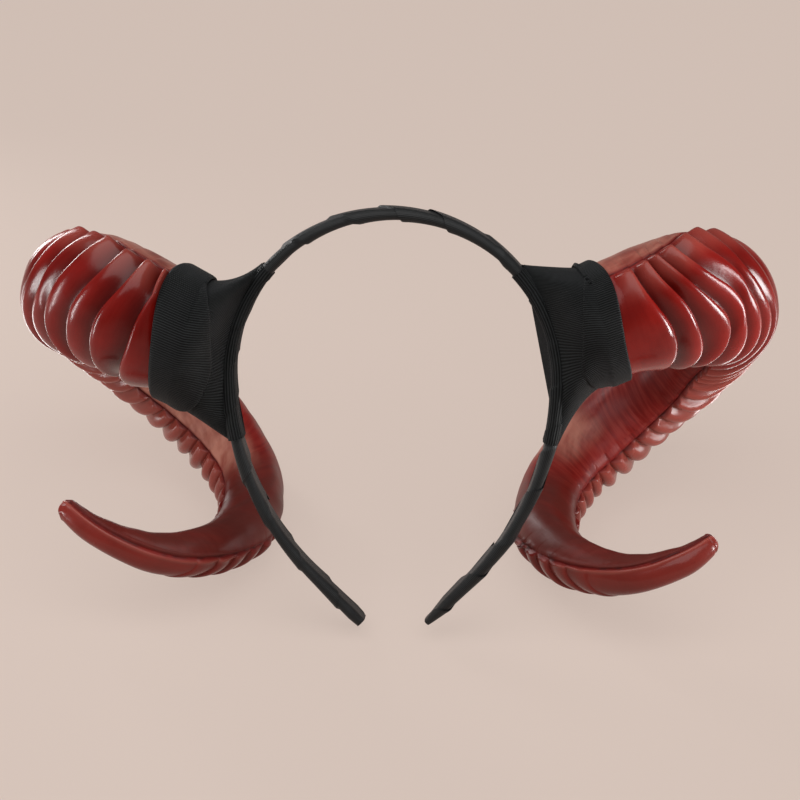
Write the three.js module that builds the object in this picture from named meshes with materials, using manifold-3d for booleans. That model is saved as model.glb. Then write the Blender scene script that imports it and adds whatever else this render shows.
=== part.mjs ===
// Horned headband: a hoop wound with black ribbon, and two cast red horns that curl once
// round beside the ears. More ribbon lashes each horn to the hoop. Millimetres, +Z up,
// the wearer looks along -Y, left and right are as seen from the front.

import * as THREE from 'three';
import { LoftGeometry } from 'three/addons/geometries/LoftGeometry.js';
import { mergeVertices } from 'three/addons/utils/BufferGeometryUtils.js';
import Module from 'manifold-3d';

// Hoop: a half circle over the head, a flatter arc down each side, straight ends
const CROWN_RADIUS = 61.4;
const SIDE_RADIUS = 110;
const SIDE_TURN = 44;
const END_LENGTH = 26;
const END_SWEEP = 5; // how far the tips of the hoop curve back
const END_DROP = 1; // and down
const BAND_WIDTH = 10;
const BAND_THICK = 4;
const BAND_CORNERS = 4; // straight steps round each rounded edge of the section

// Ribbon on the hoop: each wrap is thick where it starts and thins to nothing
const BAND_WRAPS = 21;
const WRAP_STEP = 0.6;
const WRAP_RINGS = [0, 1 / 3, 2 / 3, 1];
const WRAP_EDGE = 0.15; // length over which one wrap steps down to the next
const ENDS = { left: { run: 5, keep: 0.8 }, right: { run: 11, keep: 0.45 } };

// Horn: sections along the curl. turn goes round the curl's axis from the front outwards,
// radius and drop place the section's centre, half is half its height, outer and inner are
// how deep it is on its ribbed and smooth sides, twist turns it about the curl. rib is the
// height of a rib as a share of the section, and slant how far its upper end lags in turn.
const CURL = [
  {
    turn: -25, radius: 50.5, drop: -31.5, half: 23.5, outer: 19, inner: 22, twist: -32,
    rib: 0.08, slant: 0,
  },
  {
    turn: 10, radius: 45, drop: -38, half: 25, outer: 21, inner: 22, twist: -31,
    rib: 0.12, slant: 4.5,
  },
  {
    turn: 30, radius: 41.5, drop: -38.5, half: 25, outer: 20.5, inner: 22, twist: -18,
    rib: 0.12, slant: 12.5,
  },
  {
    turn: 50, radius: 39, drop: -37, half: 24, outer: 21, inner: 22, twist: -15,
    rib: 0.12, slant: 20,
  },
  {
    turn: 90, radius: 40, drop: -31, half: 21.5, outer: 20.5, inner: 21.5, twist: -25,
    rib: 0.12, slant: 23,
  },
  {
    turn: 130, radius: 44, drop: -20, half: 20, outer: 18, inner: 20.5, twist: -44,
    rib: 0.13, slant: 14,
  },
  {
    turn: 170, radius: 47, drop: -2, half: 18, outer: 16.5, inner: 18, twist: -62,
    rib: 0.14, slant: 10,
  },
  {
    turn: 210, radius: 48, drop: 17, half: 16, outer: 15, inner: 15.5, twist: -88,
    rib: 0.14, slant: 10,
  },
  {
    turn: 250, radius: 45.5, drop: 33, half: 13, outer: 13, inner: 13, twist: -105,
    rib: 0.135, slant: 10,
  },
  {
    turn: 290, radius: 41.5, drop: 46, half: 10, outer: 11, inner: 10.5, twist: -92,
    rib: 0.105, slant: 10,
  },
  {
    turn: 330, radius: 38.5, drop: 53, half: 8, outer: 9, inner: 7.5, twist: -71,
    rib: 0.03, slant: 9,
  },
  {
    turn: 365, radius: 37, drop: 51.5, half: 6.5, outer: 6.5, inner: 5, twist: -47,
    rib: 0, slant: 6,
  },
  {
    turn: 390, radius: 37, drop: 46, half: 4, outer: 4.5, inner: 3, twist: -25,
    rib: 0, slant: 0,
  },
];
const HORN_SIDES = 14;
const RIBBED_POWER = 1.03; // under 1 is squarer than an ellipse, over 1 more pointed
const SMOOTH_POWER = 1.12;
const BASE_TAPER = { wide: 0.15, tall: 0.4 }; // size of the flat base on the hoop, by the root's
const ROLL_TO = 45; // turn by which the two horns' roots are no longer rolled
const TIP_ROUND = 6; // degrees of turn over which the tip rounds off
const TIP_RINGS = [0, 0.4, 0.7, 0.9, 1];
const TIP_BLUNT = 0.25; // size left at the very tip
const TIP_FROM = 200; // turn from which the two tips are bent differently

// Ribs: like shingles, each rises from the one before and drops at its own end
const RIB_PITCH = { least: 6, share: 0.19 }; // along the curl, by the section's half height
const RIB_AT_SEAM = 0.8; // share of a rib's height that is left at the parting seam
const SEAM_CLOSE = 1e-6; // so that points on the seam itself belong to the ribs
const RIB_LAST = 333; // turn past which no rib ends
const CLOSE_FADE = { from: 40, to: 80 }; // turns over which the two horns' ribs become alike
const SLANT_FADE = { from: 60, to: 150 };
const RIB_RINGS = [{ at: 0, high: 0 }, { at: 0.3, high: 0.7 }, { at: 0.75, high: 1 }];
const SMOOTH_STEP = 9; // turn between sections where there are no ribs

// How each horn is lashed on: turned about X, Y and Z, with the curl's middle at x, y, z, its
// tip bent up and out, and its root rolled. firstRib is the turn where its first rib ends, and
// ribClose and ribSlant crowd and slant the ribs near the root. Lines round the horn are given
// by their turn and slant: root, from where it is drawn in to its base, and the collar's edges.
// hollow is how far the saddle's flare is drawn in to the root, and how much more so above.
// The right horn is given as a left one, and mirrored.
const SEATS = [
  {
    side: 'left', mirror: 1, pitch: -3.5, splay: 14, yaw: -2, x: -95, y: 42.5, z: -19,
    lift: 4.5, reach: 4.5, roll: 4, firstRib: 1.7, ribClose: 1, ribSlant: 1,
    root: { turn: -16, slant: -4 }, hollow: { middle: 0.7, more: 0.2 },
    collar: { from: { turn: -14, slant: -4.5 }, to: { turn: -6.5, slant: -5 } },
  },
  {
    side: 'right', mirror: -1, pitch: -10, splay: 12.5, yaw: -2, x: -91, y: 48, z: -20.5,
    lift: -7.5, reach: -1.5, roll: -18, firstRib: 12, ribClose: 0.8, ribSlant: 1.5,
    root: { turn: -13, slant: -4 }, hollow: { middle: 0.84, more: 0.06 },
    collar: { from: { turn: -11.5, slant: -4 }, to: { turn: -5.5, slant: -2.5 } },
  },
];

// Ribbon lashing: a collar round the horn and a saddle round horn and hoop together
const RIBBON_WALL = 1.6;
const LASH_WALL = 1; // of the saddle's turns on the hoop
const SADDLE_MIDDLE = 10; // height along the hoop above the widest place of the crown circle
const SADDLE_HALF_LENGTH = 34; // along the hoop
const SADDLE_HALF_WIDTH = 4.5;
const SADDLE_WAIST = 0.5; // place of the flare's hollow between the hoop and the horn's root
const SADDLE_TO_COLLAR = 0.5; // degrees of turn between them

const GAP = 0.3; // clearance between neighbours
const BASE_ROOM = 1.3; // and round the horn's base, which is twisted
const HORN_BASE = CROWN_RADIUS + BAND_THICK / 2 + WRAP_STEP + 2 * GAP; // flat base on the hoop
const SLEEVE_STEP = 4; // along the hoop between sections of the sleeve
// Set down, the worn headband leans back on its curls, and a little to one side
const LEAN = -24.5;
const ROLL = -2;

const RED = new THREE.MeshStandardMaterial({ color: 0x6e1410, roughness: 0.22, metalness: 0 });
const BLACK = new THREE.MeshStandardMaterial({ color: 0x181818, roughness: 0.8, metalness: 0 });

const { Vector2, Vector3 } = THREE;
const { clamp, degToRad: radians, lerp, smoothstep } = THREE.MathUtils;
const wasm = await Module();
wasm.setup();

// A closed geometry as a solid that can be cut
function solid(geometry) {
  const bare = new THREE.BufferGeometry();
  bare.setAttribute('position', geometry.attributes.position);
  bare.setIndex(geometry.index);
  const merged = mergeVertices(bare, 1e-4);
  return new wasm.Manifold(new wasm.Mesh({
    numProp: 3,
    vertProperties: new Float32Array(merged.attributes.position.array),
    triVerts: new Uint32Array(merged.index.array),
  }));
}

// All the shapes joined together, with all the tools cut away
function carve(shapes, tools) {
  const { Manifold } = wasm;
  const body = Manifold.union(shapes.map(solid)).subtract(Manifold.union(tools.map(solid)));
  const mesh = body.getMesh();
  const result = new THREE.BufferGeometry();
  result.setAttribute('position', new THREE.BufferAttribute(mesh.vertProperties, 3));
  result.setIndex(new THREE.BufferAttribute(mesh.triVerts, 1));
  result.computeVertexNormals();
  return result;
}

function loft(sections) {
  return new LoftGeometry(sections, { closed: true, capStart: true, capEnd: true });
}

const CROWN_QUARTER = CROWN_RADIUS * Math.PI / 2;
const SIDE_LENGTH = SIDE_RADIUS * radians(SIDE_TURN);
const BAND_HALF = CROWN_QUARTER + SIDE_LENGTH + END_LENGTH;

// Place on the hoop's middle line at a distance from the top, with the way that faces out
function bandPlace(distance) {
  const run = Math.abs(distance);
  const crown = Math.min(run, CROWN_QUARTER) / CROWN_RADIUS;
  const side = clamp(run - CROWN_QUARTER, 0, SIDE_LENGTH) / SIDE_RADIUS;
  const straight = Math.max(run - CROWN_QUARTER - SIDE_LENGTH, 0);
  const heading = crown + side;
  const out = new Vector2(Math.sin(heading), Math.cos(heading));
  const at = new Vector2(Math.sin(crown), Math.cos(crown)).multiplyScalar(CROWN_RADIUS);
  at.x += SIDE_RADIUS * (Math.cos(side) - 1);
  at.y -= SIDE_RADIUS * Math.sin(side);
  at.addScaledVector(new Vector2(out.y, -out.x), straight);
  const mirror = Math.sign(distance) || 1;
  const sweep = (Math.max(run - CROWN_QUARTER, 0) / (BAND_HALF - CROWN_QUARTER)) ** 2;
  return {
    centre: new Vector3(mirror * at.x, END_SWEEP * sweep, at.y - END_DROP * sweep),
    out: new Vector3(mirror * out.x, 0, out.y),
  };
}

// Flat section with rounded edges, square to the hoop
function bandRing(distance, width, thick) {
  const { centre, out } = bandPlace(distance);
  const points = [];
  for (const edge of [1, -1]) {
    for (let step = 0; step <= BAND_CORNERS; step++) {
      const angle = edge * Math.PI / 2 * (2 * step / BAND_CORNERS - 1);
      const across = edge * ((width - thick) / 2 + thick / 2 * Math.cos(angle));
      const up = thick / 2 * Math.sin(angle);
      points.push(centre.clone().addScaledVector(out, up).add(new Vector3(0, across, 0)));
    }
  }
  return points;
}

// The two ends are folded differently: one blunt, one drawn to a point
function endKeep(distance) {
  const { run, keep } = distance < 0 ? ENDS.left : ENDS.right;
  const share = clamp((BAND_HALF - Math.abs(distance)) / run, 0, 1);
  return keep + (1 - keep) * share;
}

function woundBand() {
  const pitch = 2 * BAND_HALF / BAND_WRAPS;
  const rings = [];
  for (let wrap = 0; wrap < BAND_WRAPS; wrap++) {
    for (const at of WRAP_RINGS) {
      const start = wrap * pitch + WRAP_EDGE;
      const distance = start + at * (pitch - WRAP_EDGE) - BAND_HALF;
      const grown = 2 * WRAP_STEP * (1 - at);
      const keep = endKeep(distance);
      rings.push(bandRing(distance, keep * (BAND_WIDTH + grown), keep * (BAND_THICK + grown)));
    }
  }
  return loft(rings);
}

// A smooth sleeve over a stretch of the wound hoop, with a gap under it and a wall
function bandSleeve(from, to, wall) {
  const grown = 2 * (WRAP_STEP + GAP + wall);
  const steps = Math.ceil((to - from) / SLEEVE_STEP);
  const rings = [];
  for (let step = 0; step <= steps; step++) {
    const distance = lerp(from, to, step / steps);
    rings.push(bandRing(distance, BAND_WIDTH + grown, BAND_THICK + grown));
  }
  return loft(rings);
}

const COLUMNS = Object.keys(CURL[0]).filter((column) => column !== 'turn');
const curl = new THREE.CubicInterpolant(
  CURL.map((row) => row.turn),
  CURL.flatMap((row) => COLUMNS.map((column) => row[column])),
  COLUMNS.length,
  new Float32Array(COLUMNS.length),
);
const TIP_TURN = CURL[CURL.length - 1].turn;

function curlAt(turn) {
  const values = curl.evaluate(turn);
  return Object.fromEntries(COLUMNS.map((column, index) => [column, values[index]]));
}

function curlCentre(turn, seat) {
  const { radius, drop } = curlAt(turn);
  const bend = smoothstep(turn, TIP_FROM, TIP_TURN);
  const reach = radius + seat.reach * bend;
  const angle = radians(turn);
  return new Vector3(
    -reach * Math.sin(angle),
    -reach * Math.cos(angle),
    -drop + seat.lift * bend,
  );
}

function seatMatrix(seat) {
  const turned = new THREE.Euler(radians(seat.pitch), radians(seat.splay), radians(seat.yaw));
  return new THREE.Matrix4().makeRotationFromEuler(turned).setPosition(seat.x, seat.y, seat.z);
}

const signedPower = (value, power) => Math.sign(value) * Math.abs(value) ** power;

// A point of the horn's skin, around its section from the ribbed side: grown outwards, with
// the ribbed half raised by a share rib
function hornPoint(turn, around, seat, { grown = 0, rib = 0, scale = 1 }) {
  const { half, outer, inner, twist } = curlAt(turn);
  const along = curlCentre(turn + 0.5, seat).sub(curlCentre(turn - 0.5, seat)).normalize();
  const angle = radians(turn);
  const radial = new Vector3(-Math.sin(angle), -Math.cos(angle), 0);
  const out = radial.addScaledVector(along, -radial.dot(along)).normalize();
  const roll = seat.roll * (1 - smoothstep(turn, 0, ROLL_TO));
  out.applyAxisAngle(along, radians(twist + roll));
  const across = new Vector3().crossVectors(along, out);
  const facing = Math.cos(around);
  const ribbed = facing > -SEAM_CLOSE ? RIB_AT_SEAM + (1 - RIB_AT_SEAM) * facing : 0;
  const raised = scale * (1 + rib * ribbed);
  const power = facing > 0 ? RIBBED_POWER : SMOOTH_POWER;
  const depth = (facing > 0 ? outer : inner) * raised + grown;
  const height = half * raised + grown;
  const point = curlCentre(turn, seat);
  point.addScaledVector(out, depth * signedPower(facing, power));
  point.addScaledVector(across, height * signedPower(Math.sin(around), power));
  return point.applyMatrix4(seatMatrix(seat));
}

// A section of the horn, slanted by moving its upper edge back along the turn
function hornRing({ turn, slant }, seat, options = {}) {
  const { sides = HORN_SIDES } = options;
  const points = [];
  for (let side = 0; side < sides; side++) {
    const around = 2 * Math.PI * side / sides - Math.PI / 2;
    points.push(hornPoint(turn - slant * Math.sin(around), around, seat, options));
  }
  return points;
}

function between(from, to, share) {
  return { turn: lerp(from.turn, to.turn, share), slant: lerp(from.slant, to.slant, share) };
}

// The same line a little further along the turn
function moved({ turn, slant }, by) {
  return { turn: turn + by, slant };
}

// The root drawn in to a smaller section on an upright plane at a distance from the middle
function baseRing(seat, distance, { grown = 0, sides = HORN_SIDES } = {}) {
  const ring = hornRing(seat.root, seat, { sides });
  const centre = ringCentre(ring);
  return ring.map((point) => {
    const away = point.sub(centre).multiply(new Vector3(0, BASE_TAPER.wide, BASE_TAPER.tall));
    away.setLength(away.length() + grown);
    return new Vector3(-distance, centre.y + away.y, centre.z + away.z);
  });
}

function ringCentre(ring) {
  const sum = ring.reduce((total, point) => total.add(point), new Vector3());
  return sum.divideScalar(ring.length);
}

// A stretch of the plain horn between two lines round it, grown all round
function hornSleeve(from, to, seat, options) {
  const steps = Math.ceil((to.turn - from.turn) / SMOOTH_STEP);
  const rings = [];
  for (let step = 0; step <= steps; step++) {
    rings.push(hornRing(between(from, to, step / steps), seat, options));
  }
  return rings;
}

// Lines where the ribs end, closer together as the horn thins
function ribEnds(seat) {
  const ends = [];
  let turn = seat.firstRib;
  while (turn < RIB_LAST) {
    const { half, slant } = curlAt(turn);
    const close = lerp(seat.ribClose, 1, smoothstep(turn, CLOSE_FADE.from, CLOSE_FADE.to));
    const slanted = lerp(seat.ribSlant, 1, smoothstep(turn, SLANT_FADE.from, SLANT_FADE.to));
    ends.push({ turn, slant: slant * slanted });
    const step = curlCentre(turn + 1, seat).distanceTo(curlCentre(turn, seat));
    turn += close * (RIB_PITCH.least + RIB_PITCH.share * half) / step;
  }
  return ends;
}

function castHorn(seat) {
  let from = seat.collar.to;
  const rings = [baseRing(seat, HORN_BASE), ...hornSleeve(seat.root, from, seat).slice(0, -1)];
  for (const to of ribEnds(seat)) {
    for (const { at, high } of RIB_RINGS) {
      const line = between(from, to, at);
      rings.push(hornRing(line, seat, { rib: high * curlAt(line.turn).rib }));
    }
    from = to;
  }
  const last = { turn: TIP_TURN - TIP_ROUND, slant: 0 };
  rings.push(...hornSleeve(from, last, seat).slice(0, -1));
  for (const at of TIP_RINGS) {
    const scale = Math.max(Math.sqrt(1 - at * at), TIP_BLUNT);
    rings.push(hornRing(moved(last, at * TIP_ROUND), seat, { scale }));
  }
  return loft(rings);
}

function ribbonCollar(seat) {
  const { from, to } = seat.collar;
  const sides = 2 * HORN_SIDES;
  const ribbon = hornSleeve(from, to, seat, { grown: GAP + RIBBON_WALL, sides });
  const room = hornSleeve(moved(from, -1), moved(to, 1), seat, { grown: GAP, sides });
  return carve([loft(ribbon)], [loft(room)]);
}

// The ribbon that ties the horn's root to the hoop: a sleeve on the hoop that flares from a
// long oval, inside the hoop, to the horn's root and on up to the collar
function ribbonSaddle(seat) {
  const sides = 2 * HORN_SIDES;
  const grown = GAP + RIBBON_WALL;
  const middle = SADDLE_MIDDLE - CROWN_QUARTER;
  const root = hornRing(seat.root, seat, { grown, sides });
  const centre = ringCentre(root);
  const oval = [];
  const waist = [];
  for (const point of root) {
    const away = point.clone().sub(centre).setX(0).normalize();
    const { centre: start } = bandPlace(middle + SADDLE_HALF_LENGTH * away.z);
    start.y += SADDLE_HALF_WIDTH * away.y;
    const drawn = start.clone().lerp(point, seat.hollow.middle + seat.hollow.more * away.z);
    oval.push(start);
    waist.push(drawn.setX(lerp(start.x, point.x, SADDLE_WAIST)));
  }
  const end = moved(seat.collar.from, -SADDLE_TO_COLLAR);
  const flare = loft([oval, waist, ...hornSleeve(seat.root, end, seat, { grown, sides })]);
  const low = middle - SADDLE_HALF_LENGTH;
  const high = middle + SADDLE_HALF_LENGTH;
  const base = baseRing(seat, HORN_BASE - GAP, { grown: BASE_ROOM, sides });
  const horn = loft([base, ...hornSleeve(seat.root, seat.collar.to, seat, { grown: GAP, sides })]);
  const room = bandSleeve(low - BAND_WIDTH, high + BAND_WIDTH, 0);
  return carve([flare, bandSleeve(low, high, LASH_WALL)], [room, horn]);
}

function piece(name, geometry, material) {
  const mesh = new THREE.Mesh(geometry, material);
  mesh.name = name;
  return mesh;
}

const worn = new THREE.Group();
worn.add(piece('headband', woundBand(), BLACK));
for (const seat of SEATS) {
  const half = new THREE.Group();
  half.scale.x = seat.mirror;
  half.add(piece(`${seat.side}_horn`, castHorn(seat), RED));
  half.add(piece(`${seat.side}_collar`, ribbonCollar(seat), BLACK));
  half.add(piece(`${seat.side}_saddle`, ribbonSaddle(seat), BLACK));
  worn.add(half);
}
worn.rotation.set(radians(LEAN), radians(ROLL), 0, 'YXZ');

// Set down with its lowest point at height 0 and its box centred over the origin
const part = new THREE.Group();
part.add(worn);
part.updateMatrixWorld(true);
const box = new THREE.Box3().setFromObject(part, true);
worn.position.set(-(box.min.x + box.max.x) / 2, -(box.min.y + box.max.y) / 2, -box.min.z);

export default part;
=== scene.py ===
import math
import random

import bpy
import numpy as np
from mathutils import Matrix, Vector, noise


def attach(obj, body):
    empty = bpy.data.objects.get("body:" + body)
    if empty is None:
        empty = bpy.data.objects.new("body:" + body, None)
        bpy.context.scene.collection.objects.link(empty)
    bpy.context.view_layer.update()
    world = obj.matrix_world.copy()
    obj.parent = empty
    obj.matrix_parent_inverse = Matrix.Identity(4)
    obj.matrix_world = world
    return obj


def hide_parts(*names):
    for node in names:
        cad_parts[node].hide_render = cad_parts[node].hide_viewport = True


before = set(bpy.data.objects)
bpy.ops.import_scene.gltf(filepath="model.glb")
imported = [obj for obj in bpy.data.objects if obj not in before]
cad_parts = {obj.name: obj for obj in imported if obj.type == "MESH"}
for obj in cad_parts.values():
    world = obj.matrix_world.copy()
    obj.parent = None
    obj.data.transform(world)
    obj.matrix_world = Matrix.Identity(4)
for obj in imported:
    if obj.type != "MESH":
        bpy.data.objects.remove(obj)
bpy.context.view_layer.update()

# Headband: a springy plastic hoop, flat in section and open at the bottom. Black satin ribbon
# is wound round it from tip to tip, each turn lapping the edge of the one before, and both
# tips are wrapped over and glued.

# Set down, the headband leans back on its curls and a little to one side, in degrees, with the
# middle of its crown circle at this place over the floor, in mm
LEAN, ROLL = -24.5, -2
CROWN_MIDDLE = (1.461, -29.532, 96.154)
worn_to_floor = (
    Matrix.Translation(CROWN_MIDDLE)
    @ Matrix.Rotation(math.radians(ROLL), 4, "Y")
    @ Matrix.Rotation(math.radians(LEAN), 4, "X")
)


def set_down(points):
    """Points of the worn headband, in mm, as it leans on the floor, in metres."""
    turn = np.array(worn_to_floor.to_3x3())
    return (points @ turn.T + np.array(CROWN_MIDDLE)) / 1000


WELD = 2e-6  # metres within which two points are one
SHARP = 50  # degrees past which an edge is not smoothed


def rolled_sheet(name, points, uv, marks=None, closed=True):
    """A flat grid rolled up to rows of points. Its long edges are welded together, and where
    it is closed its open ends are filled."""
    steps, sides = points.shape[0] - 1, points.shape[1] - 1
    bpy.ops.object.select_all(action="DESELECT")
    bpy.ops.mesh.primitive_grid_add(x_subdivisions=steps, y_subdivisions=sides, size=1)
    sheet = bpy.context.object
    sheet.name = sheet.data.name = name
    mesh = sheet.data
    flat = np.empty(len(mesh.vertices) * 3)
    mesh.vertices.foreach_get("co", flat)
    flat = flat.reshape(-1, 3)
    row = np.rint((flat[:, 0] + 0.5) * steps).astype(int)
    column = np.rint((flat[:, 1] + 0.5) * sides).astype(int)
    mesh.vertices.foreach_set("co", set_down(points[row, column]).ravel())
    corner = np.empty(len(mesh.loops), int)
    mesh.loops.foreach_get("vertex_index", corner)
    mesh.uv_layers.active.data.foreach_set("uv", uv[row, column][corner].ravel())
    for mark, values in (marks or {}).items():
        mesh.attributes.new(mark, "FLOAT", "POINT").data.foreach_set("value", values[row, column])
    mesh.update()
    bpy.ops.object.mode_set(mode="EDIT")
    bpy.ops.mesh.select_all(action="SELECT")
    bpy.ops.mesh.remove_doubles(threshold=WELD)
    if closed:
        bpy.ops.mesh.fill_holes(sides=0)
        bpy.ops.mesh.select_all(action="SELECT")
        bpy.ops.mesh.normals_make_consistent(inside=False)
    bpy.ops.object.mode_set(mode="OBJECT")
    bpy.ops.object.shade_smooth_by_angle(angle=math.radians(SHARP))
    return sheet


CROWN_RADIUS, SIDE_RADIUS, SIDE_TURN = 61.4, 110, 44
END_LENGTH, END_SWEEP, END_DROP = 26, 5, 1
CROWN_QUARTER = CROWN_RADIUS * math.pi / 2
SIDE_LENGTH = SIDE_RADIUS * math.radians(SIDE_TURN)
BAND_HALF = CROWN_QUARTER + SIDE_LENGTH + END_LENGTH
BAND_WIDTH, BAND_THICK = 10, 4


def hoop_place(distance):
    """Middle line of the hoop at a distance from the top, and the way that faces out."""
    run = np.abs(distance)
    crown = np.minimum(run, CROWN_QUARTER) / CROWN_RADIUS
    side = np.clip(run - CROWN_QUARTER, 0, SIDE_LENGTH) / SIDE_RADIUS
    straight = np.maximum(run - CROWN_QUARTER - SIDE_LENGTH, 0)
    heading = crown + side
    out = np.stack([np.sin(heading), 0 * run, np.cos(heading)], -1)
    x = CROWN_RADIUS * np.sin(crown) + SIDE_RADIUS * (np.cos(side) - 1) + straight * out[..., 2]
    z = CROWN_RADIUS * np.cos(crown) - SIDE_RADIUS * np.sin(side) - straight * out[..., 0]
    sweep = (np.maximum(run - CROWN_QUARTER, 0) / (BAND_HALF - CROWN_QUARTER)) ** 2
    centre = np.stack([x, END_SWEEP * sweep, z - END_DROP * sweep], -1)
    mirror = np.where(distance < 0, -1.0, 1.0)
    centre[..., 0] *= mirror
    out[..., 0] *= mirror
    return centre, out


# Section of the hoop: each point is a place across the flat and an angle on the round edge
EDGE_STEPS, FLAT_STEPS = 12, 10
edge = np.linspace(-90, 90, EDGE_STEPS + 1)
on_edge = np.ones(EDGE_STEPS + 1)
across_flat = np.linspace(1, -1, FLAT_STEPS + 1)[1:-1]
on_top, beneath = 90 + 0 * across_flat, 270 + 0 * across_flat
section_flat = np.concatenate([on_edge, across_flat, -on_edge, -across_flat, [1]])
section_angle = np.radians(np.concatenate([edge, on_top, edge + 180, beneath, [270]]))


def section_places(wide, thick):
    """Places across and up on the hoop's section, at any width and thickness."""
    across = section_flat * (wide - thick) / 2 + thick / 2 * np.cos(section_angle)
    return across, thick / 2 * np.sin(section_angle)


def section_round():
    """How far round the section each point lies, from 0 to 1."""
    across, up = section_places(BAND_WIDTH, BAND_THICK)
    length = np.concatenate([[0], np.cumsum(np.hypot(np.diff(across), np.diff(up)))])
    return length / length[-1]


# Laps of the ribbon: the length in mm over which one steps down to the next, the rows of the
# sheet on each, and how much its thickness, its start and its line round the hoop vary
LAP_EDGE, LAP_ROWS = 0.15, 22
LAP_THICK, LAP_SLIP, LAP_SWAY = (0.7, 1.25), 0.12, 0.03
LAP_THINS = 1.3  # power by which a lap thins along its pitch
SELVEDGE_HIGH, SELVEDGE_AT = 0.12, 0.03
# Sign, run in mm and size left at each tip of the hoop: one is blunt, one drawn to a point
HOOP_TIPS = ((-1, 5, 0.8), (1, 11, 0.45))
TIP_ROUNDS = 0.8


def wound_hoop(name, start, end, wraps, grown, step, ends, seed):
    """Ribbon wound on the hoop from start to end, grown off it, each lap a step thick. The rows
    of the sheet follow its laps."""
    rng = random.Random(seed)
    pitch = (end - start) / wraps
    round_share = section_round()
    distance, thickness = [], []
    for wrap in range(wraps + 1):
        lap = step * rng.uniform(*LAP_THICK)
        slip = rng.uniform(-LAP_SLIP, LAP_SLIP)
        sway = rng.uniform(0, 2 * math.pi)
        loose = 1 if wrap else 0
        wander = loose * pitch * (slip + LAP_SWAY * np.sin(2 * math.pi * round_share + sway))
        for share in np.linspace(0, 1, LAP_ROWS):
            along = start + (wrap - 1) * pitch + LAP_EDGE + share * (pitch - LAP_EDGE)
            distance.append(along + wander * (1 - share) + pitch * round_share)
            selvedge = math.exp(-((share - SELVEDGE_AT) / SELVEDGE_AT) ** 2)
            thickness.append(lap * (1 - share) ** LAP_THINS + SELVEDGE_HIGH * step * selvedge)
    distance = np.clip(np.array(distance), start, end)
    thickness = np.array(thickness)[:, None] + 0 * distance
    keep = np.ones_like(distance)
    for sign, run, least in HOOP_TIPS if ends else ():
        share = np.clip((BAND_HALF - sign * distance) / run, 0, 1)
        keep = np.where(sign * distance > 0, least + (1 - least) * share ** TIP_ROUNDS, keep)
    wide = keep * (BAND_WIDTH + 2 * (grown + thickness))
    thick = keep * (BAND_THICK + 2 * (grown + thickness))
    across, up = section_places(wide, thick)
    centre, out = hoop_place(distance)
    points = centre + out * up[..., None]
    points[..., 1] += across
    girth = 2 * (BAND_WIDTH + BAND_THICK)
    uv = np.stack([round_share * girth + 0 * distance, distance], -1) / 1000
    return rolled_sheet(name, points, uv)


hoop = wound_hoop("wound_hoop", -BAND_HALF, BAND_HALF, wraps=21, grown=0, step=0.6, ends=True, seed=3)


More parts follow.
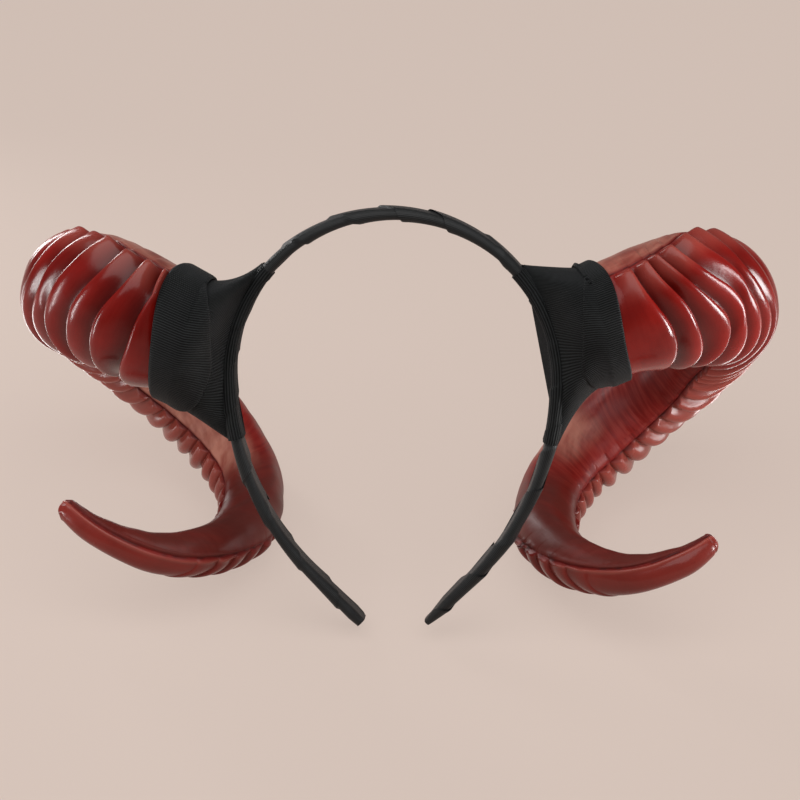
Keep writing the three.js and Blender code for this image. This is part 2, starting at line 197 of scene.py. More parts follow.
def ribbon_cloth(name, dark, pale, ridge_pitch, ridge_height, gloss, shine):
    """Woven black ribbon: ridges across its length, threads between them, a dull sheen. Its colour is
    painted paler on the ridges as a painted highlight and darker between them as painted shade, over
    a random worn tone. The ridges' pitch and height are in mm."""
    cloth = bpy.data.materials.new(name)
    cloth.use_nodes = True
    nodes, links = cloth.node_tree.nodes, cloth.node_tree.links
    shader = nodes["Principled BSDF"]
    shader.inputs["Sheen Weight"].default_value = 0.04
    shader.inputs["Sheen Roughness"].default_value = 0.4
    shader.inputs["Sheen Tint"].default_value = (0.7, 0.7, 0.75, 1)
    shader.inputs["Specular IOR Level"].default_value = shine
    place = nodes.new("ShaderNodeUVMap")
    ridges = nodes.new("ShaderNodeTexWave")
    ridges.wave_type, ridges.bands_direction, ridges.wave_profile = "BANDS", "X", "SIN"
    ridges.inputs["Scale"].default_value = 0.314 / (ridge_pitch / 1000)
    ridges.inputs["Distortion"].default_value = 0.6
    ridges.inputs["Detail"].default_value = 1
    ridges.inputs["Detail Scale"].default_value = 0.4
    links.new(place.outputs["UV"], ridges.inputs["Vector"])
    stretched = nodes.new("ShaderNodeMapping")
    stretched.inputs["Scale"].default_value = (2600, 900, 1)
    links.new(place.outputs["UV"], stretched.inputs["Vector"])
    threads = nodes.new("ShaderNodeTexNoise")
    threads.inputs["Scale"].default_value = 1
    threads.inputs["Detail"].default_value = 3
    links.new(stretched.outputs["Vector"], threads.inputs["Vector"])
    body = nodes.new("ShaderNodeTexCoord")
    worn = nodes.new("ShaderNodeTexNoise")
    worn.inputs["Scale"].default_value = 90
    worn.inputs["Detail"].default_value = 4
    links.new(body.outputs["Object"], worn.inputs["Vector"])
    weave = nodes.new("ShaderNodeMath")
    weave.operation = "MULTIPLY_ADD"
    weave.inputs[1].default_value = 0.45
    links.new(threads.outputs["Fac"], weave.inputs[0])
    links.new(ridges.outputs["Fac"], weave.inputs[2])
    shade = nodes.new("ShaderNodeMath")
    shade.operation = "MULTIPLY_ADD"
    shade.inputs[1].default_value = 0.55
    links.new(worn.outputs["Fac"], shade.inputs[0])
    links.new(weave.outputs["Value"], shade.inputs[2])
    span = nodes.new("ShaderNodeMapRange")
    span.inputs["From Max"].default_value = 1.8
    links.new(shade.outputs["Value"], span.inputs["Value"])
    # colour ramp: pale on the ridges is painted highlight, dark between them is painted shade; the
    # worn noise adds random tone
    tint = nodes.new("ShaderNodeValToRGB")
    low, high = tint.color_ramp.elements
    low.position, low.color = 0.25, (*dark, 1)
    high.position, high.color = 0.90625, (*pale, 1)
    links.new(span.outputs["Result"], tint.inputs["Fac"])
    links.new(tint.outputs["Color"], shader.inputs["Base Color"])
    dull = nodes.new("ShaderNodeMapRange")
    dull.inputs["To Min"].default_value = gloss + 0.12
    dull.inputs["To Max"].default_value = gloss
    links.new(worn.outputs["Fac"], dull.inputs["Value"])
    links.new(dull.outputs["Result"], shader.inputs["Roughness"])
    bump = nodes.new("ShaderNodeBump")
    bump.inputs["Strength"].default_value = 0.9
    bump.inputs["Distance"].default_value = ridge_height / 1000
    links.new(weave.outputs["Value"], bump.inputs["Height"])
    links.new(bump.outputs["Normal"], shader.inputs["Normal"])
    return cloth


satin = ribbon_cloth(
    "black_satin_ribbon", dark=(0.002, 0.0021, 0.0023), pale=(0.022, 0.0228, 0.0232),
    ridge_pitch=0.55, ridge_height=0.05, gloss=0.4, shine=0.22,
)
hoop.data.materials.append(satin)
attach(hoop, "root")
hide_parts("headband")

# Horns: two light castings from the same kind of two-part mould, painted gloss red by hand.
# The outside of the curl carries slanting ribs like shingles, the inside is smooth and
# brushed, and a parting seam runs along both edges. They differ a little, as hand work does.

CURL = np.array([
    # turn, radius, drop, half height, outer depth, inner depth, twist, rib height, rib slant
    (-25, 50.5, -31.5, 23.5, 19.0, 22.0, -32, 0.080, 0),
    (10, 45.0, -38.0, 25.0, 21.0, 22.0, -31, 0.125, 4.5),
    (30, 41.5, -38.5, 25.0, 20.5, 22.0, -18, 0.125, 12.5),
    (50, 39.0, -37.0, 24.0, 21.0, 22.0, -15, 0.125, 20),
    (90, 40.0, -31.0, 21.5, 20.5, 21.5, -25, 0.120, 23),
    (130, 44.0, -20.0, 20.0, 18.0, 20.5, -44, 0.130, 14),
    (170, 47.0, -2.0, 18.0, 16.5, 18.0, -62, 0.140, 10),
    (210, 48.0, 17.0, 16.0, 15.0, 15.5, -88, 0.140, 10),
    (250, 45.5, 33.0, 13.0, 13.0, 13.0, -105, 0.135, 10),
    (290, 41.5, 46.0, 10.0, 11.0, 10.5, -92, 0.105, 10),
    (330, 38.5, 53.0, 8.0, 9.0, 7.5, -71, 0.030, 9),
    (365, 37.0, 51.5, 6.5, 6.5, 5.0, -47, 0.000, 6),
    (390, 37.0, 46.0, 4.0, 4.5, 3.0, -25, 0.000, 0),
])
RADIUS, DROP, HALF, OUTER, INNER, TWIST, RIB, SLANT = range(8)  # columns after the turn

# How each horn is lashed on, both given as a left one. turned is its turn about X, Y and Z, at
# is the middle of its curl, lift and reach bend its tip up and out, and roll turns its root.
# root and collar_edge are lines round it, by their turn and slant, and collar_top draws that
# edge further out over the top. hollow is how far the saddle's flare is drawn in to the root,
# and how much more so above. The ribs begin at first_rib, and rib_close and rib_slant crowd and
# slant them near the root. seam turns the parting seam round the horn, by turn. crumble,
# tip_lump and tip_nick are how rough the seam's ridge and the tip are.
SEATS = {
    "left": dict(
        mirror=1, turned=(-3.5, 14, -2), at=(-95, 42.5, -19), lift=4.5, reach=4.5, roll=4,
        root=(-16, -4), collar_edge=(-8.5, -5), collar_top=2.5, hollow=(0.7, 0.2),
        first_rib=1.7, rib_close=1, rib_slant=1,
        seam=((290, 0), (325, -12), (360, -13), (390, -5)),
        crumble=0.2, tip_lump=0.9, tip_nick=0,
    ),
    "right": dict(
        mirror=-1, turned=(-10, 12.5, -2), at=(-91, 48, -20.5), lift=-7.5, reach=-1.5, roll=-18,
        root=(-13, -4), collar_edge=(-7, -0.8), collar_top=3.5, hollow=(0.84, 0.06),
        first_rib=12, rib_close=0.8, rib_slant=1.5,
        seam=((140, 0), (170, 7), (205, 19), (280, 20), (310, 9), (350, -5)),
        crumble=1, tip_lump=0, tip_nick=0.35,
    ),
}
TIP_TURN, TIP_FROM, TIP_ROUND = 390, 200, 6
RIB_LAST, ROLL_TO = 333, 45
RIB_PITCH_LEAST, RIB_PITCH_SHARE = 6, 0.19
CLOSE_FADE, SLANT_FADE = (40, 80), (60, 150)  # turns by which the two horns' ribs become alike
RIBBED_POWER, SMOOTH_POWER = 1.03, 1.12
HORN_BASE, BASE_TAPER = 64.6, (0.15, 0.4)  # the flat base on the hoop, and its size by the root's


def smooth(value, low, high):
    """From 0 at low to 1 at high, with no corner."""
    share = np.clip((value - low) / (high - low), 0, 1)
    return share * share * (3 - 2 * share)


def stretch(turn, start, end):
    """1 on a stretch of the horn that comes in over one range of turn and ends over another."""
    return smooth(turn, *start) * (1 - smooth(turn, *end))


def curl_at(turn):
    """The table's columns at any turn, on a smooth curve through its rows."""
    at, rows = CURL[:, 0], CURL[:, 1:]
    gap = np.diff(at)[:, None]
    slope = np.empty_like(rows)
    slope[1:-1] = (rows[2:] - rows[:-2]) / (gap[1:] + gap[:-1])
    slope[0] = 1.5 * (rows[1] - rows[0]) / gap[0] - slope[1] / 2
    slope[-1] = 1.5 * (rows[-1] - rows[-2]) / gap[-1] - slope[-2] / 2
    turn = np.asarray(turn, float)
    first = np.clip(np.searchsorted(at, turn, "right") - 1, 0, len(at) - 2)
    run = gap[first, 0]
    t = ((turn - at[first]) / run)[..., None]
    run = run[..., None]
    return (
        (1 + 2 * t) * (1 - t) ** 2 * rows[first] + t * (1 - t) ** 2 * run * slope[first]
        + t * t * (3 - 2 * t) * rows[first + 1] + t * t * (t - 1) * run * slope[first + 1]
    )


def curl_centre(turn, seat):
    """Middle of the horn's section on its curl, before the horn is lashed on."""
    row = curl_at(turn)
    bend = smooth(turn, TIP_FROM, TIP_TURN)
    reach = row[..., RADIUS] + seat["reach"] * bend
    height = -row[..., DROP] + seat["lift"] * bend
    angle = np.radians(turn)
    return np.stack([-reach * np.sin(angle), -reach * np.cos(angle), height], -1)


def seat_turn(seat):
    x, y, z = (Matrix.Rotation(math.radians(a), 3, axis) for a, axis in zip(seat["turned"], "XYZ"))
    return np.array(x @ y @ z)


def horn_frame(turn, seat):
    """Centre of the horn's section, the ways its ribbed side and its upper edge face."""
    ahead = curl_centre(turn + 0.5, seat) - curl_centre(turn - 0.5, seat)
    ahead /= np.linalg.norm(ahead, axis=-1, keepdims=True)
    angle = np.radians(turn)
    out = np.stack([-np.sin(angle), -np.cos(angle), 0 * angle], -1)
    out -= ahead * np.sum(out * ahead, -1, keepdims=True)
    out /= np.linalg.norm(out, axis=-1, keepdims=True)
    side = np.cross(ahead, out)
    twist = curl_at(turn)[..., TWIST] + seat["roll"] * (1 - smooth(turn, 0, ROLL_TO))
    twist = np.radians(twist)[..., None]
    ribbed = out * np.cos(twist) + side * np.sin(twist)
    upper = side * np.cos(twist) - out * np.sin(twist)
    turned = seat_turn(seat).T
    centre = curl_centre(turn, seat) @ turned + np.array(seat["at"])
    return centre, ribbed @ turned, upper @ turned


def horn_skin(turn, around, seat, raised=1.0):
    """Points of the horn's skin: turn along the curl, around its section from the ribbed side.
    Both halves are a little pointed, so they meet in an edge."""
    row = curl_at(turn)
    centre, out, side = horn_frame(turn, seat)
    facing, rising = np.cos(around), np.sin(around)
    depth = np.where(facing > 0, row[..., OUTER], row[..., INNER]) * raised
    height = row[..., HALF] * raised
    power = np.where(facing > 0, RIBBED_POWER, SMOOTH_POWER)
    forward = depth * np.sign(facing) * np.abs(facing) ** power
    upward = height * np.sign(rising) * np.abs(rising) ** power
    points = centre + out * forward[..., None] + side * upward[..., None]
    points[..., 0] *= seat["mirror"]
    return points


def line_turn(line, around):
    """Turn of a slanting line all round the horn."""
    return line[0] - line[1] * np.sin(around)


def collar_line(seat, around):
    """Turn of the collar's edge all round the horn: it is drawn further out over the top."""
    over_top = np.clip(np.sin(around), 0, 1) ** 2
    return line_turn(seat["collar_edge"], around) + seat["collar_top"] * over_top


def rib_ends(seat):
    """Lines where the ribs end, closer together as the horn thins."""
    turn, ends = seat["first_rib"], []
    while turn < RIB_LAST:
        row = curl_at(turn)
        close = seat["rib_close"] + (1 - seat["rib_close"]) * smooth(turn, *CLOSE_FADE)
        slanted = seat["rib_slant"] + (1 - seat["rib_slant"]) * smooth(turn, *SLANT_FADE)
        ends.append((turn, row[SLANT] * slanted))
        step = np.linalg.norm(curl_centre(turn + 1.0, seat) - curl_centre(turn + 0.0, seat))
        turn += close * (RIB_PITCH_LEAST + RIB_PITCH_SHARE * row[HALF]) / step
    return np.array(ends)


NOISE_APART = 17.3  # between the places where two seeds read the noise


def rough(points, size, seed):
    """Random lumps of about a size, from -1 to 1, at each point."""
    flat = points.reshape(-1, 3) / size + NOISE_APART * seed
    return np.array([noise.noise(p) for p in flat.tolist()]).reshape(points.shape[:-1])


HORN_SIDES, TIP_ROWS, ROUND_ROWS = 128, 70, 18
SEAM_CROWD = 0.36  # how far the sheet's columns are crowded to the two seams
# Places of the rows on one rib, closer together where it steps down to the next
RIB_ROWS = (
    0.0, 0.015, 0.05, 0.1, 0.17, 0.26, 0.36, 0.46, 0.56, 0.65, 0.73, 0.8, 0.86, 0.91, 0.95, 0.98,
)
RIB_WAVES = ((2, 0.05), (5, 0.025))  # waves round the horn in a rib's end, and how far, by pitch
RIB_SHIFT, RIB_LEAST = 0.05, 0.2  # how far one is out of place, and how long at least, by pitch
RIB_STRENGTH = (0.8, 1.15)


def rib_rows(seat, around, rng):
    """Rows of the sheet along the horn: the turn of each all round, its place on its rib from 0
    to 1, and the rib's number, 0 where there is none. Then the strength of each rib."""
    ends = rib_ends(seat)
    lines = [line_turn(seat["root"], around), collar_line(seat, around)]
    for end, pitch in zip(ends, np.gradient(ends[:, 0])):
        waver = sum(far * np.sin(waves * around + rng.uniform(0, 6.3)) for waves, far in RIB_WAVES)
        line = line_turn(end, around) + (waver + rng.uniform(-RIB_SHIFT, RIB_SHIFT)) * pitch
        lines.append(np.maximum(line, lines[-1] + RIB_LEAST * pitch))
    strength = rng.uniform(*RIB_STRENGTH, len(lines))
    turn, share, number = [], [], []
    for line, (one, two) in enumerate(zip(lines[:-1], lines[1:])):
        for step in RIB_ROWS:
            turn.append(one + step * (two - one))
            share.append(step)
            number.append(line)
    for step in np.linspace(0, 1, TIP_ROWS)[:-1]:
        turn.append(lines[-1] + step * (TIP_TURN - TIP_ROUND - lines[-1]))
    for step in np.linspace(0, math.pi / 2, ROUND_ROWS):
        turn.append(0 * around + TIP_TURN - TIP_ROUND * (1 - math.sin(step)))
    plain = [0] * (len(turn) - len(share))
    return np.array(turn), np.array(share + plain)[:, None], np.array(number + plain), strength


RIB_PEAK = np.array([(0, 0.8), (90, 0.78), (150, 0.62), (250, 0.62), (290, 0.86)])  # by turn
CLIMB_POWER = 0.9


def rib_crests(turn, share, number, strength):
    """Height of the ribs, from 0 to about 1: a slow climb to a peak, then a round fall."""
    peak = np.interp(turn, *RIB_PEAK.T)
    climb = 0.5 - 0.5 * np.cos(math.pi * np.clip(share / peak, 0, 1) ** CLIMB_POWER)
    fall = np.sqrt(np.clip(1 - (np.clip(share - peak, 0, 1) / (1 - peak)) ** 2, 0, 1))
    ribbed = (number > 0)[:, None]
    return np.where(share < peak, climb, fall) * strength[number][:, None] * ribbed


RIB_END_UPPER, RIB_END_LOWER = 0.2, 0.08  # how far from the seam the ribs reach full height
GROOVE_SUNK, RIB_RAISED, SKIN_SIZE = 0.25, 1.1, 0.985
SEAM_WIDE, LIP_AT, LIP_WIDE = 0.55, 1.2, 0.7  # the seam's line and the lips beside it, in mm
NICK_SIZE, BROAD_LUMP, FINE_LUMP, TIP_LUMP = 3.5, 14, 7, 2.2  # in mm
TIP_NICK_TURN = 384.5


def painted_salmon_reflection(side, turn, rising):
    """Where the smooth face takes a pale salmon painted reflection of the floor: low on one horn, in
    a patch on the other.
    """
    if side == "left":
        return stretch(turn, (125, 165), (235, 255)) * smooth(-rising, 0.2, 0.75)
    return 0.7 * stretch(turn, (192, 206), (216, 234)) * (1 - smooth(-rising, 0.4, 0.85))


def cast_horn(side, seed):
    """One horn: its skin raised by ribs, seam and lumps, with marks that the paint reads."""
    seat = SEATS[side]
    even = np.linspace(-0.5, 1.5, HORN_SIDES + 1) * math.pi
    around = even + SEAM_CROWD * np.sin(2 * even)
    turn, share, number, strength = rib_rows(seat, around, np.random.default_rng(seed))
    around = around + 0 * turn
    grooved = (number > 1)[:, None]

    # ribs, which end close to the parting seam and show faintly beyond it
    row = curl_at(turn)
    size, tall = row[..., HALF], np.clip(row[..., RIB], 0, 1)
    seam_at, seam_turned = np.array(seat["seam"]).T
    from_rib = around - np.radians(np.interp(turn, seam_at, seam_turned))
    rising, facing = np.sin(from_rib), np.cos(from_rib)
    upper = rising > 0
    crest = rib_crests(turn, share, number, strength)
    ended = smooth(facing, 0.0, np.where(upper, RIB_END_UPPER, RIB_END_LOWER))
    faint = 0.12 * smooth(facing, -0.7, -0.1) * (1 - ended)
    rib = crest * (ended * np.where(upper, 1.15 - 0.15 * facing, 0.8 + 0.2 * facing) + faint)
    sunk = GROOVE_SUNK * ended * (1 - np.clip(crest, 0, 1)) * grooved

    # parting seam: a line between two lips, nicked all along and crumbled over the last ribs
    off = facing * size
    plain = horn_skin(turn, around, seat)
    nicks = np.clip(rough(plain, NICK_SIZE, seed) * 1.6 + 0.3, 0, 1)
    line = np.exp(-(off / SEAM_WIDE) ** 2)
    lips = np.exp(-((np.abs(off) - LIP_AT) / LIP_WIDE) ** 2)
    crumbly = stretch(turn, (215, 240), (285, 310)) * upper * seat["crumble"]
    ridge = 0.4 * lips * upper * smooth(turn, 285, 305)
    seam = ridge + lips * nicks * (0.12 + 1.5 * crumbly) - 0.5 * line * (1 - 0.6 * nicks)
    seam *= smooth(turn, -12, -2)

    # skin, rounded off at the tip, with the casting's lumps
    rounding = np.clip(1 - (TIP_TURN - turn) / TIP_ROUND, 0, 1)
    tip = np.sqrt(np.clip(1 - rounding ** 2, 0.002, 1))
    raised = tip * (SKIN_SIZE + tall * (RIB_RAISED * rib - sunk) + seam / size)
    points = horn_skin(turn, around, seat, raised)
    middle = np.array([seat["mirror"], 1, 1]) * horn_frame(turn, seat)[0]
    away = points - middle
    away /= np.maximum(np.linalg.norm(away, axis=-1, keepdims=True), 1e-6)
    lump = 0.3 * rough(plain, BROAD_LUMP, seed)
    lump += 0.3 * rough(plain, FINE_LUMP, seed + 3) * smooth(-facing, 0, 0.3)
    lump += seat["tip_lump"] * rough(plain, TIP_LUMP, seed + 5) * smooth(turn, 380, 387)
    lump -= seat["tip_nick"] * np.exp(-((turn - TIP_NICK_TURN) / 0.6) ** 2)
    points += away * (lump * tip)[..., None]

    # root drawn in to a flat base on the hoop, under the ribbon
    heart = middle[:1, :1]
    base = heart + np.array([0, *BASE_TAPER]) * (points[:1] - heart)
    base[..., 0] = -HORN_BASE * seat["mirror"]
    points = np.concatenate([base, points])

    # sheet's own length and girth, and the marks
    run = np.linalg.norm(np.diff(middle[:, HORN_SIDES // 4], axis=0), axis=-1)
    length = np.concatenate([[0], np.cumsum(run)])
    uv = np.stack([length[:, None] + 0 * turn, around * size], -1) / 1000
    face = smooth(-facing, 0.0, 0.12)
    # painted shade: darker paint between the ribs, where shade falls in the grooves
    groove_shade = (1 - np.clip(crest / 0.85, 0, 1)) * ended * grooved * smooth(tall, 0.0, 0.1)
    # pale: painted highlights on the rib ends near the upper seam and on the raised lip, and painted
    # reflection of the floor on the lobes and last ribs
    pale = 0.45 * crest * smooth(rising, 0.72, 0.97) * (1 - smooth(turn, 80, 110)) + 1.3 * ridge
    pale += 0.55 * stretch(turn, (95, 125), (240, 270)) + 0.18 * smooth(turn, 265, 300)
    marks = {
        "groove_shade": groove_shade * (1 - 0.5 * smooth(turn, 95, 125)),
        "smooth_face": face,
        "seam": np.clip(line * np.clip(nicks + 0.3, 0, 1) + crumbly * lips * nicks, 0, 1),
        "lip": lips * (1 - ended) + line,
        # painted reflection: pale salmon where the smooth face mirrors the floor, low or in a patch,
        # and near the root
        "salmon_reflection": face * (painted_salmon_reflection(side, turn, rising) + 0.6 * (1 - smooth(turn, 15, 75))),
        # painted shade: darker brown in patches over the curl's last third
        "tip_shade": (face + 0.35 * ended) * smooth(turn, 225, 255),
        "pale": pale * ended,
    }
    marks = {name: np.concatenate([values[:1], values]) for name, values in marks.items()}
    return rolled_sheet(f"cast_{side}_horn", points, np.concatenate([uv[:1], uv]), marks)


DEEP_RED, BRIGHT_RED = (0.12, 0.0034, 0.0022, 1), (0.21, 0.0066, 0.0042, 1)
GROOVE_SHADE_RED, STROKE_RED = (0.030, 0.0011, 0.0009, 1), (0.060, 0.0020, 0.0015, 1)
STREAK_RED, REFLECTED_PALE_RED = (0.30, 0.045, 0.030, 1), (0.36, 0.088, 0.066, 1)
SALMON_REFLECTION, SHADE_BROWN_RED = (0.50, 0.215, 0.155, 1), (0.085, 0.013, 0.009, 1)
SEAM_BLACK = (0.016, 0.0010, 0.0008, 1)


def red_paint():
    """Gloss red brushed over the casting: thinner and dull on the smooth face, with brush strokes,
    pits and a dark seam. Its colour also paints light and shade: painted shade in the grooves and
    over the last third, a painted salmon reflection of the floor on the smooth face, and pale painted
    highlights and reflections on the rib ends and lobes."""
    paint = bpy.data.materials.new("gloss_red_paint")
    paint.use_nodes = True
    nodes, links = paint.node_tree.nodes, paint.node_tree.links
    shader = nodes["Principled BSDF"]
    shader.inputs["Specular IOR Level"].default_value = 0.26
    body = nodes.new("ShaderNodeTexCoord")
    sheet = nodes.new("ShaderNodeUVMap")

    def feed(socket, value):
        if hasattr(value, "is_linked"):
            links.new(value, socket)
        else:
            socket.default_value = value

    def mark(name):
        node = nodes.new("ShaderNodeAttribute")
        node.attribute_name = name
        return node.outputs["Fac"]

    def mix(share, under, over):
        node = nodes.new("ShaderNodeMix")
        node.data_type = "RGBA"
        for index, value in ((0, share), (6, under), (7, over)):
            feed(node.inputs[index], value)
        return node.outputs[2]

    def spread(value, low, high, to_low=0.0, to_high=1.0):
        node = nodes.new("ShaderNodeMapRange")
        links.new(value, node.inputs["Value"])
        limits = {"From Min": low, "From Max": high, "To Min": to_low, "To Max": to_high}
        for socket, number in limits.items():
            node.inputs[socket].default_value = number
        return node.outputs["Result"]

    def calc(operation, one, two):
        node = nodes.new("ShaderNodeMath")
        node.operation = operation
        feed(node.inputs[0], one)
        feed(node.inputs[1], two)
        return node.outputs["Value"]

    def grain(scale, detail, along=None, harsh=0.5):
        node = nodes.new("ShaderNodeTexNoise")
        node.inputs["Scale"].default_value = scale
        node.inputs["Detail"].default_value = detail
        node.inputs["Roughness"].default_value = harsh
        if along is None:
            links.new(body.outputs["Object"], node.inputs["Vector"])
        else:
            stretched = nodes.new("ShaderNodeMapping")
            stretched.inputs["Scale"].default_value = along
            links.new(sheet.outputs["UV"], stretched.inputs["Vector"])
            links.new(stretched.outputs["Vector"], node.inputs["Vector"])
        return node.outputs["Fac"]

    clouds = grain(38, 3)
    strokes = grain(1, 4, (520, 60, 1), 0.6)
    broad = grain(1, 3, (60, 150, 1), 0.55)
    face = mark("smooth_face")

    # colour: each layer over the one before, some of them painted shade, highlight and reflection
    red = mix(spread(clouds, 0.35, 0.7), DEEP_RED, BRIGHT_RED)
    # painted shade in the grooves between the ribs
    red = mix(calc("MULTIPLY", mark("groove_shade"), 0.85), red, GROOVE_SHADE_RED)
    thin = calc("MULTIPLY", spread(strokes, 0.48, 0.34), spread(face, 0.0, 1.0, 0.1, 0.4))
    red = mix(thin, red, STROKE_RED)
    streak = calc("MULTIPLY", spread(strokes, 0.46, 0.70), spread(face, 0.0, 1.0, 0.05, 0.4))
    red = mix(streak, red, STREAK_RED)
    # painted reflection of the pale floor in salmon on the smooth face
    red = mix(calc("MULTIPLY", mark("salmon_reflection"), spread(broad, 0.35, 0.62, 0.3, 0.9)), red, SALMON_REFLECTION)
    # pale painted highlights and painted reflection of the floor
    red = mix(mark("pale"), red, REFLECTED_PALE_RED)
    # painted shade in brown over the curl's last third
    red = mix(calc("MULTIPLY", mark("tip_shade"), spread(broad, 0.3, 0.6, 0.6, 0.95)), red, SHADE_BROWN_RED)
    red = mix(calc("MULTIPLY", mark("seam"), 0.75), red, SEAM_BLACK)
    links.new(red, shader.inputs["Base Color"])

    # gloss: dull on the smooth face, along its strokes and on the seam's lips
    dull = calc("ADD", spread(clouds, 0.3, 0.75, 0.17, 0.30), spread(face, 0.0, 1.0, 0.0, 0.14))
    brushed = calc("MULTIPLY", spread(strokes, 0.3, 0.7), spread(face, 0, 1, 0.01, 0.08))
    dull = calc("ADD", calc("ADD", dull, brushed), calc("MULTIPLY", mark("lip"), 0.35))
    links.new(dull, shader.inputs["Roughness"])

    # surface: pits in patches, brush strokes and a fine grain
    pits = nodes.new("ShaderNodeTexVoronoi")
    pits.inputs["Scale"].default_value = 170
    links.new(body.outputs["Object"], pits.inputs["Vector"])
    pit = spread(pits.outputs["Distance"], 0.05, 0.16)
    pit = calc("MAXIMUM", pit, spread(clouds, 0.60, 0.64, 1.0, 0.0))
    height = calc("ADD", calc("MULTIPLY", pit, 0.3), calc("MULTIPLY", strokes, 0.12))
    height = calc("ADD", height, calc("MULTIPLY", grain(160, 3), 0.4))
    bump = nodes.new("ShaderNodeBump")
    bump.inputs["Strength"].default_value = 0.6
    bump.inputs["Distance"].default_value = 0.0005
    links.new(height, bump.inputs["Height"])
    links.new(bump.outputs["Normal"], shader.inputs["Normal"])
    return paint


red = red_paint()
for side, seed in (("left", 5), ("right", 8)):
    horn = cast_horn(side, seed)
    horn.data.materials.append(red)
    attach(horn, "root")
    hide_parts(f"{side}_horn")

# Saddles: broad grosgrain ribbon drawn round the horn's root and the hoop together. It webs
# out along the hoop above and below the horn, and more turns of it lie flat on the hoop.

SADDLE_MIDDLE, SADDLE_HALF_LENGTH, SADDLE_HALF_WIDTH = 10, 34, 4.5
SADDLE_WAIST = 0.5  # place of the flare's hollow between the hoop and the root
TURN_BY_PLACE = 10  # degrees along the horn for one whole place


def lash_skin(seat, place, angle):
    """Points of the lashing's bed: place 0 is on the hoop, 1 at the horn's root, and from
    there each tenth is a degree of turn along the horn."""
    left_seat = dict(seat, mirror=1)
    root_turn = line_turn(seat["root"], angle)
    root = horn_skin(root_turn + TURN_BY_PLACE * np.maximum(place - 1, 0), angle, left_seat)
    heart = horn_frame(np.array(float(seat["root"][0])), left_seat)[0]
    away = horn_skin(root_turn, angle, left_seat) - heart
    away[..., 0] = 0
    away /= np.linalg.norm(away, axis=-1, keepdims=True)
    oval, out = hoop_place(SADDLE_MIDDLE - CROWN_QUARTER + SADDLE_HALF_LENGTH * away[..., 2])
    oval = oval + BAND_THICK / 2 * out
    oval[..., 1] += SADDLE_HALF_WIDTH * away[..., 1]
    hollow, more = seat["hollow"]
    drawn = (hollow + more * away[..., 2])[..., None]
    waist = oval + (root - oval) * np.concatenate([0 * drawn + SADDLE_WAIST, drawn, drawn], -1)
    t = np.clip(place, 0, 1)[..., None]
    return (1 - t) * (1 - 2 * t) * oval + 4 * t * (1 - t) * waist + t * (2 * t - 1) * root


NEAR = 0.02  # step in place and in radians by which the bed's slope is found


def lash_points(seat, place, angle, lift):
    """Points of a ribbon lifted off the lashing's bed, in mm."""
    along = lash_skin(seat, place + NEAR, angle) - lash_skin(seat, place - NEAR, angle)
    round_ = lash_skin(seat, place, angle + NEAR) - lash_skin(seat, place, angle - NEAR)
    normal = np.cross(round_, along)
    normal /= np.maximum(np.linalg.norm(normal, axis=-1, keepdims=True), 1e-9)
    points = lash_skin(seat, place, angle) + normal * (lift + 0 * place)[..., None]
    points[..., 0] *= seat["mirror"]
    return points


LASH_SIDES = 176
lash_around = np.linspace(-math.pi / 2, 1.5 * math.pi, LASH_SIDES + 1)
# Mm of ribbon to a radian round the horn and to a place along it, and its slant to a place
LASH_GIRTH, LASH_DEPTH, LASH_SLANT = 23, 14, 9
grosgrain = ribbon_cloth(
    "black_grosgrain", dark=(0.0006, 0.0006, 0.0007), pale=(0.019, 0.0205, 0.0208),
    ridge_pitch=0.82, ridge_height=0.26, gloss=0.55, shine=0.1,
)


def collar_end(seat):
    """Place of the collar's outer edge, all round the horn."""
    beyond = collar_line(seat, lash_around) - line_turn(seat["root"], lash_around)
    return 1 + beyond / TURN_BY_PLACE


SADDLE_ROWS, SADDLE_LIFT = 70, 1.1
SADDLE_LAST, UNDER_COLLAR = 1.3, 0.15  # where the flare ends, and how far inside the collar's edge
FOLDS, FOLD_HIGH = 9, 0.18


def ribbon_saddle(side, seed):
    """The flare from hoop to horn, with shallow folds, and the flat turns on the hoop."""
    seat = SEATS[side]
    last = np.minimum(SADDLE_LAST, collar_end(seat) - UNDER_COLLAR)
    share, angle = np.meshgrid(np.linspace(0, 1, SADDLE_ROWS), lash_around, indexing="ij")
    place = share * last
    fold = FOLD_HIGH * np.sin(FOLDS * angle + 3 * place) * np.exp(-((place - 0.5) / 0.5) ** 2)
    points = lash_points(seat, place, angle, SADDLE_LIFT + fold)
    uv = np.stack([angle * LASH_GIRTH + place * LASH_SLANT, place * LASH_DEPTH], -1) / 1000
    flare = rolled_sheet(f"ribbon_{side}_saddle", points, uv)
    middle = seat["mirror"] * (SADDLE_MIDDLE - CROWN_QUARTER)
    start, end = middle - SADDLE_HALF_LENGTH, middle + SADDLE_HALF_LENGTH
    turns = wound_hoop(
        f"ribbon_{side}_wraps", start, end, wraps=4, grown=0.7, step=0.4, ends=False, seed=seed,
    )
    bpy.ops.object.select_all(action="DESELECT")
    turns.select_set(True)
    flare.select_set(True)
    bpy.context.view_layer.objects.active = flare
    bpy.ops.object.join()
    return flare


for side, seed in (("left", 11), ("right", 12)):
    saddle = ribbon_saddle(side, seed)
    saddle.data.materials.append(grosgrain)
    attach(saddle, "root")
    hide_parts(f"{side}_saddle")

# Collars: the last turns of the grosgrain, wound flat round the horn's base over the end of
# the saddle and glued. The ribbon's edge swings out over the saddle in front.

# How far each collar's inner edge swings out, in places, and where and how widely, in degrees
COLLAR_SWINGS = {"left": (0.62, 8, 75), "right": (0.55, 10, 80)}
COLLAR_ROWS, COLLAR_LIFT, COLLAR_WALL = 40, 1.75, 1.1
COLLAR_FROM = 0.95  # place of its inner edge where it doesn't swing out
TUCK, TUCK_FROM = 0.5, 0.93  # its edges are pressed down this far, over the last of its width


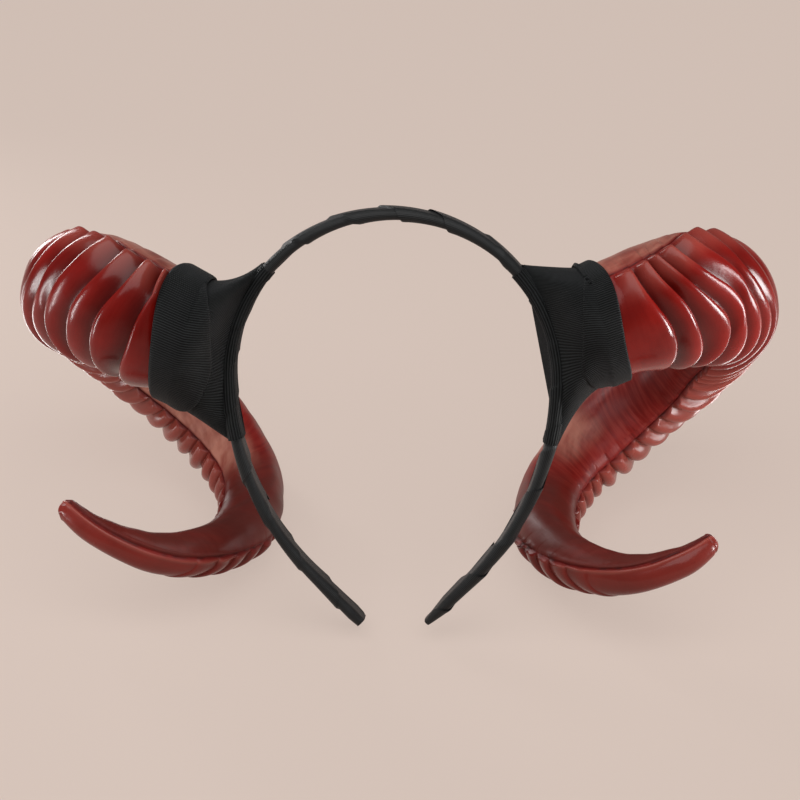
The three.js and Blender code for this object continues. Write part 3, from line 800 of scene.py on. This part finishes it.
def ribbon_collar(side):
    """A band of ribbon round the horn's base, with both edges pressed down."""
    seat = SEATS[side]
    swing, facing, spread = COLLAR_SWINGS[side]
    off = (np.degrees(lash_around) - facing + 180) % 360 - 180
    low = COLLAR_FROM - swing * np.clip(1.08 - np.hypot(off / spread, 0.08), 0, 1)
    high = collar_end(seat)
    share, angle = np.meshgrid(np.linspace(0, 1, COLLAR_ROWS), lash_around, indexing="ij")
    place = low + share * (high - low)
    tuck = TUCK * np.clip(np.abs(share - 0.5) * 2 - TUCK_FROM, 0, 1) / (1 - TUCK_FROM)
    points = lash_points(seat, place, angle, COLLAR_LIFT - tuck)
    uv = np.stack([angle * LASH_GIRTH, place * LASH_DEPTH], -1) / 1000
    collar = rolled_sheet(f"ribbon_{side}_collar", points, uv, closed=False)
    wall = collar.modifiers.new("ribbon", "SOLIDIFY")
    wall.thickness, wall.offset = COLLAR_WALL / 1000, -1
    bpy.ops.object.modifier_apply(modifier=wall.name)
    return collar


for side in SEATS:
    collar = ribbon_collar(side)
    collar.data.materials.append(grosgrain)
    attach(collar, "root")
    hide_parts(f"{side}_collar")

# Studio: a pale warm card floor that glows by its own emission, brightest in a painted pool of light
# that fades outward, and a soft box above. Narrow strips and panels close by on both sides draw the
# lights along the gloss ribs. The camera is in front, a little above and slightly to one side of the
# worn headband.

# the card glows by emission, strongest in a painted pool of light round this middle and fading
# outward
POOL_MIDDLE = (0, 0.16, 0)
POOL_LIMITS = {"From Min": 0.40, "From Max": 0.95, "To Min": 1.0, "To Max": 0.2}

bpy.ops.object.select_all(action="DESELECT")
bpy.ops.mesh.primitive_plane_add(size=8, location=(0, 0, 0))
floor = bpy.context.object
floor.name = "floor"
card = bpy.data.materials.new("glowing_pale_card")
card.use_nodes = True
nodes, links = card.node_tree.nodes, card.node_tree.links
paper = nodes["Principled BSDF"]
paper.inputs["Base Color"].default_value = (0.13, 0.108, 0.095, 1)
paper.inputs["Emission Color"].default_value = (0.525, 0.430, 0.381, 1)
paper.inputs["Roughness"].default_value = 0.9
paper.inputs["Specular IOR Level"].default_value = 0.1
spot = nodes.new("ShaderNodeTexCoord")
apart = nodes.new("ShaderNodeVectorMath")
apart.operation = "DISTANCE"
apart.inputs[1].default_value = POOL_MIDDLE
links.new(spot.outputs["Object"], apart.inputs[0])
pool = nodes.new("ShaderNodeMapRange")
pool.interpolation_type = "SMOOTHSTEP"
for socket, value in POOL_LIMITS.items():
    pool.inputs[socket].default_value = value
links.new(apart.outputs["Value"], pool.inputs["Value"])
links.new(pool.outputs["Result"], paper.inputs["Emission Strength"])
floor.data.materials.append(card)

world = bpy.data.worlds.new("studio")
bpy.context.scene.world = world
world.use_nodes = True
world.node_tree.nodes["Background"].inputs["Color"].default_value = (1.0, 0.97, 0.95, 1)
world.node_tree.nodes["Background"].inputs["Strength"].default_value = 0.18
LIGHTS = (
    # name, place, aim, watts, width, height, spread in degrees
    ("left_strip", (-0.31, 0.27, 0.20), (-0.10, 0, 0.14), 0.36, 0.04, 0.4, 110),
    ("left_floor_strip", (-0.235, 0.08, 0.006), (-0.23, 0.08, 1), 0.14, 0.03, 0.26, 180),
    ("left_panel", (-0.36, -0.10, 0.08), (-0.10, -0.03, 0.14), 0.08, 0.025, 0.15, 80),
    ("right_panel", (0.34, -0.05, 0.085), (0.10, -0.03, 0.15), 0.22, 0.06, 0.15, 80),
    ("right_floor_strip", (0.24, 0.06, 0.006), (0.235, 0.06, 1), 0.07, 0.02, 0.2, 180),
    ("top_softbox", (0.0, -0.6, 1.6), (0, 0, 0.08), 38, 2.6, 2.0, 180),
)
for name, place, aim, watts, wide, tall, spread in LIGHTS:
    bpy.ops.object.light_add(type="AREA", location=place)
    lamp = bpy.context.object
    lamp.name = name
    lamp.data.shape = "RECTANGLE"
    lamp.data.energy, lamp.data.size, lamp.data.size_y = watts, wide, tall
    lamp.data.spread = math.radians(spread)
    lamp.rotation_euler = (Vector(aim) - Vector(place)).to_track_quat("-Z", "Y").to_euler()

# The camera's angles to the worn headband, its place in mm off the crown's middle, and its view
AZIMUTH, ELEVATION = math.radians(4), math.radians(12)
OFF_RIGHT, OFF_UP, DISTANCE = 2.6, -8.56, 1000
VIEW_ANGLE = 16.93
right = Vector((math.cos(AZIMUTH), math.sin(AZIMUTH), 0))
level = math.cos(ELEVATION)
ahead = Vector((-math.sin(AZIMUTH) * level, math.cos(AZIMUTH) * level, -math.sin(ELEVATION)))
up = right.cross(ahead)
eye = OFF_RIGHT * right + OFF_UP * up - DISTANCE * ahead
bpy.ops.object.camera_add()
camera = bpy.context.object
looking = Matrix((right, up, -ahead)).transposed()
turned = worn_to_floor.to_3x3() @ looking
camera.matrix_world = Matrix.Translation((worn_to_floor @ eye) / 1000) @ turned.to_4x4()
camera.data.angle = math.radians(VIEW_ANGLE)
camera.data.clip_start = 0.01
bpy.context.scene.camera = camera
bpy.context.scene.view_settings.view_transform = "Standard"
